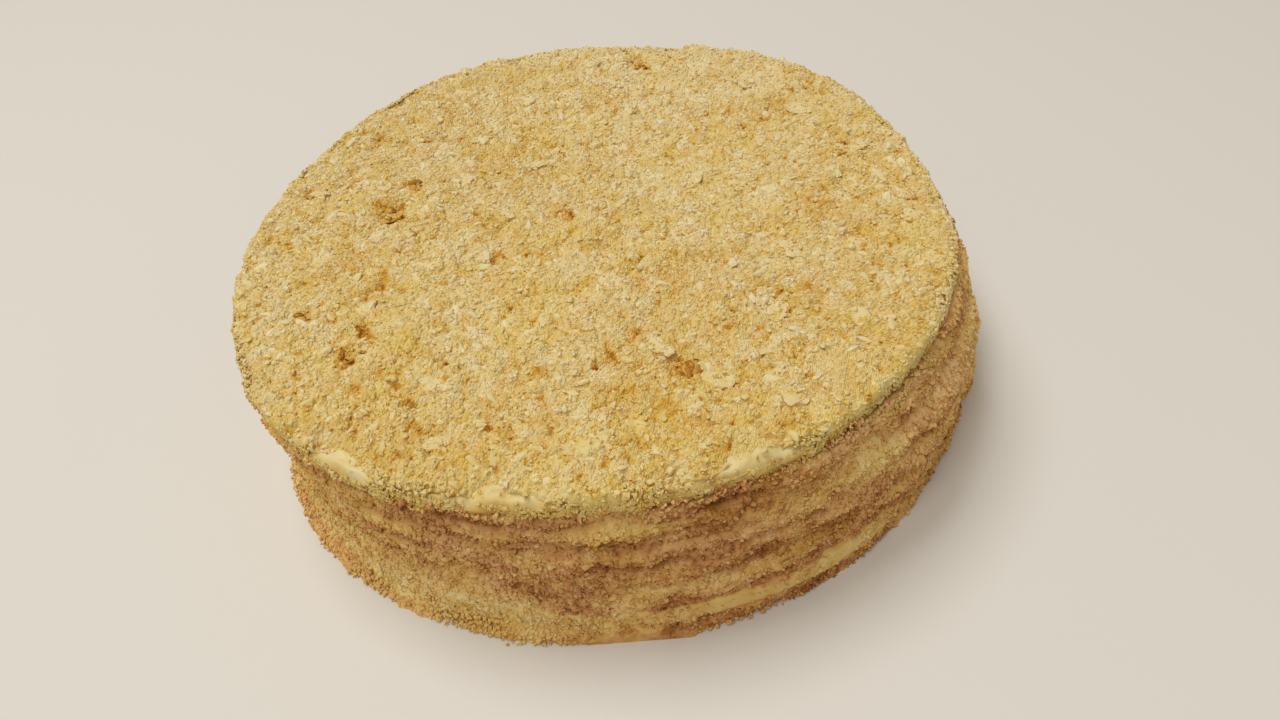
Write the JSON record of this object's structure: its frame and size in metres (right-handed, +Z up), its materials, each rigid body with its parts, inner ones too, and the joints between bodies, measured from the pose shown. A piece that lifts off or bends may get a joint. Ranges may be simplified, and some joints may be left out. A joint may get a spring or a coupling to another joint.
{
  "type": "napoleon cake",
  "caption": "Round napoleon cake: pastry layers with cream between them, a cream cap and a thick coat of pale crumbs over the top and sides.",
  "frame": {"origin": "middle of the cake's flat foot, at the bottom centre of its bounding box", "axes": "+Z up, -Y towards the front that the picture shows, +X to the picture's right"},
  "size_m": [0.251, 0.2514, 0.0673],
  "materials": {
    "pastry": "matte, rough, browned layered pastry",
    "cream": "satin custard cream",
    "crumb": "matte, dry pastry crumbs and flakes"
  },
  "bodies": {
    "root": {"pastry_1": "pastry", "pastry_2": "pastry", "pastry_3": "pastry", "pastry_4": "pastry", "pastry_5": "pastry", "pastry_6": "pastry", "cream_1": "cream", "cream_2": "cream", "cream_3": "cream", "cream_4": "cream", "cream_5": "cream", "cream_cap": "cream", "crumb_coat": "crumb"}
  },
  "joints": []
}
